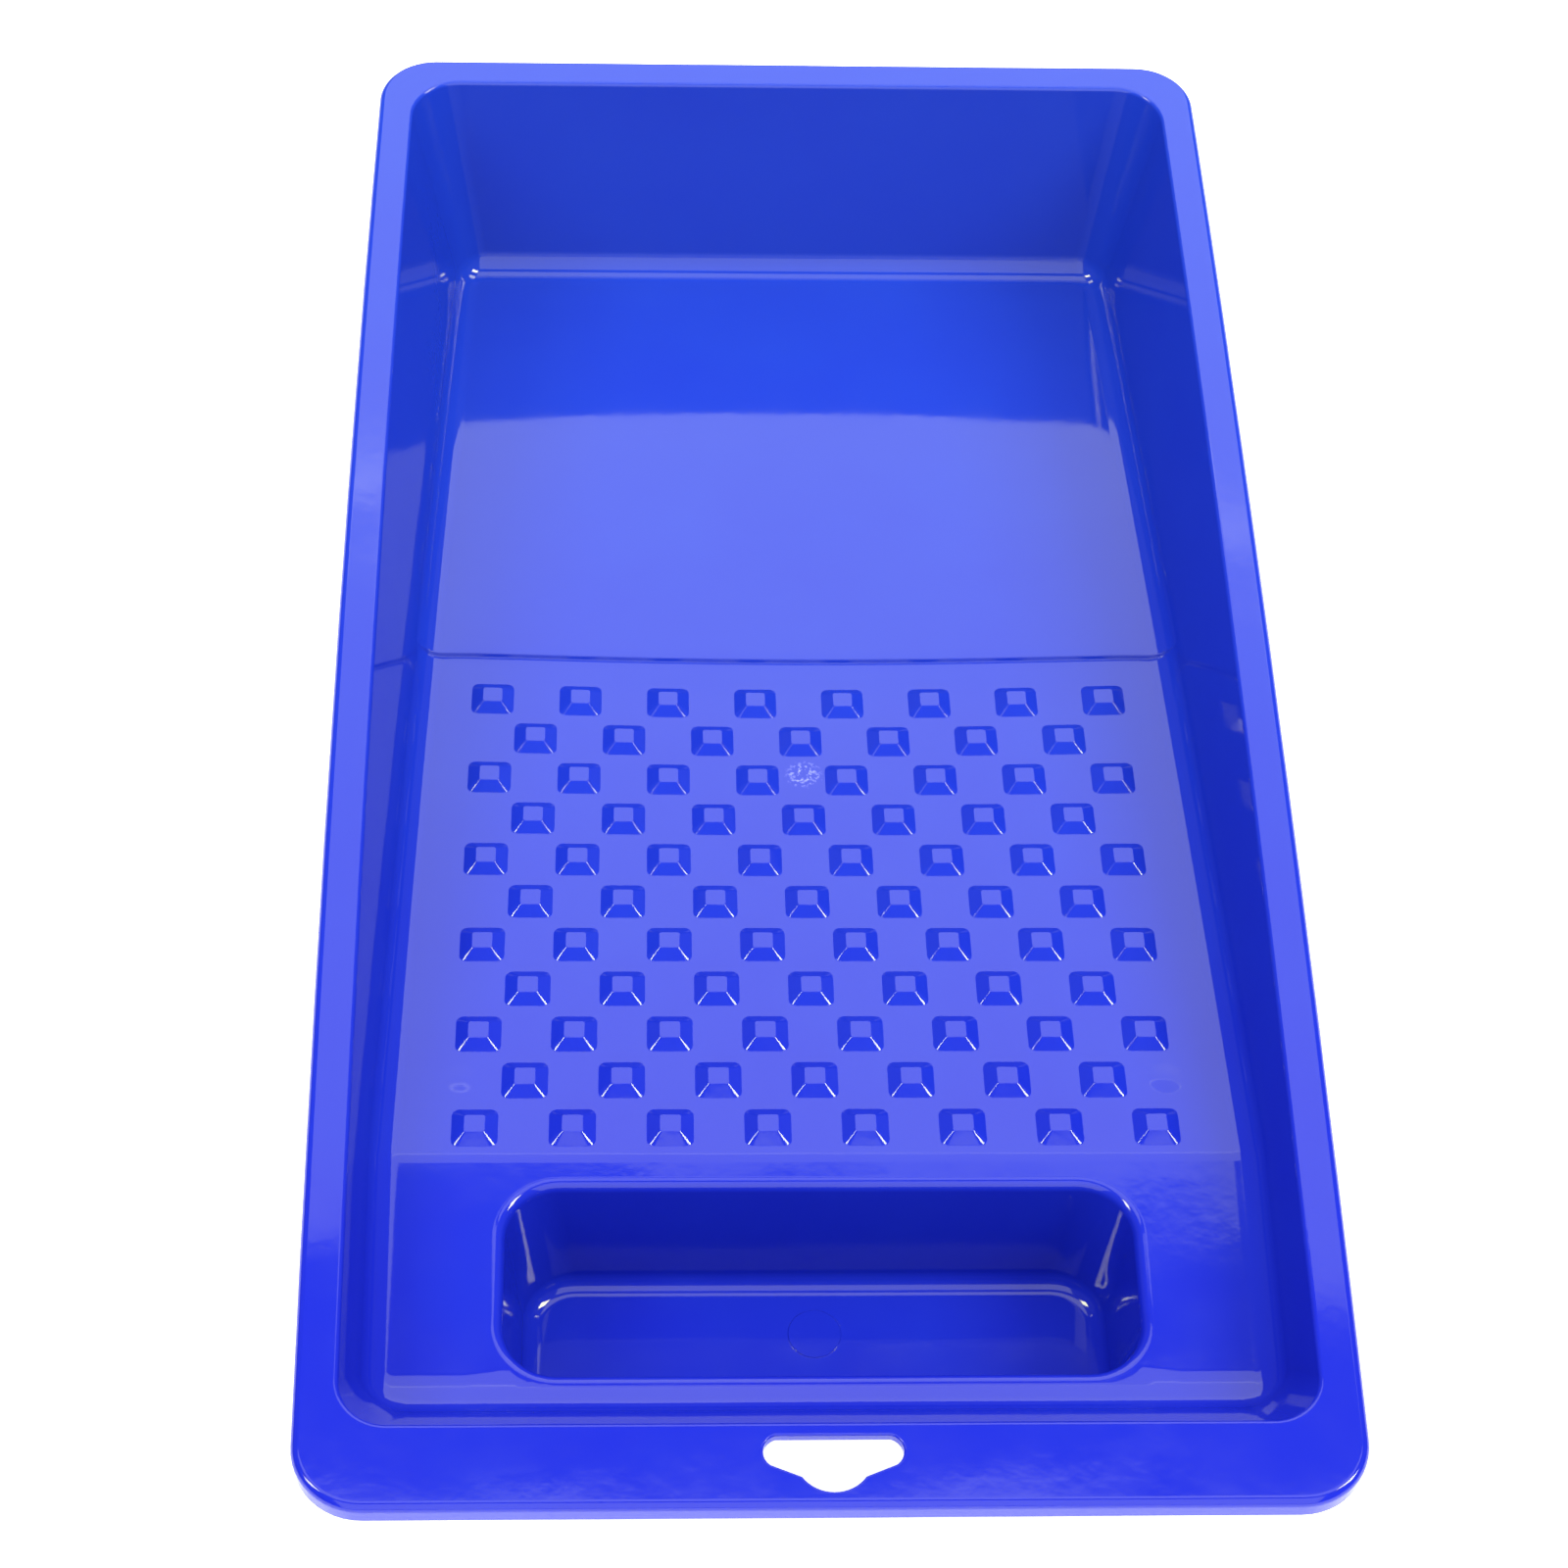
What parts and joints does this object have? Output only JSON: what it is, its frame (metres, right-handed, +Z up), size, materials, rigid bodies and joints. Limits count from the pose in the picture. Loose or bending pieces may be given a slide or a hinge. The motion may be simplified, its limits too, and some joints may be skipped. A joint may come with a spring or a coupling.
{
  "type": "paint roller tray",
  "caption": "Rectangular one-piece plastic tray for a mini paint roller: deep well, sloping studded ramp, small front trough, flat rim with a turned-down lip and a hang hole.",
  "frame": {"origin": "on the surface the tray stands on, below the middle of the rim", "axes": "+Z up, +Y along the tray towards the deep well, +X across it to the right when seen from the front trough"},
  "size_m": [0.1514, 0.29, 0.041],
  "materials": {
    "blue_plastic": "glossy injection-moulded polypropylene, plain blue"
  },
  "bodies": {
    "root": {"rim_far": "blue_plastic", "rim_near": "blue_plastic", "rim_left": "blue_plastic", "rim_right": "blue_plastic", "far_wall": "blue_plastic", "near_wall": "blue_plastic", "left_wall": "blue_plastic", "right_wall": "blue_plastic", "well_floor": "blue_plastic", "ramp_plate": "blue_plastic", "left_ledge": "blue_plastic", "right_ledge": "blue_plastic", "near_ledge": "blue_plastic", "trough_far_wall": "blue_plastic", "trough_near_wall": "blue_plastic", "trough_left_wall": "blue_plastic", "trough_right_wall": "blue_plastic", "trough_floor": "blue_plastic"}
  },
  "joints": []
}
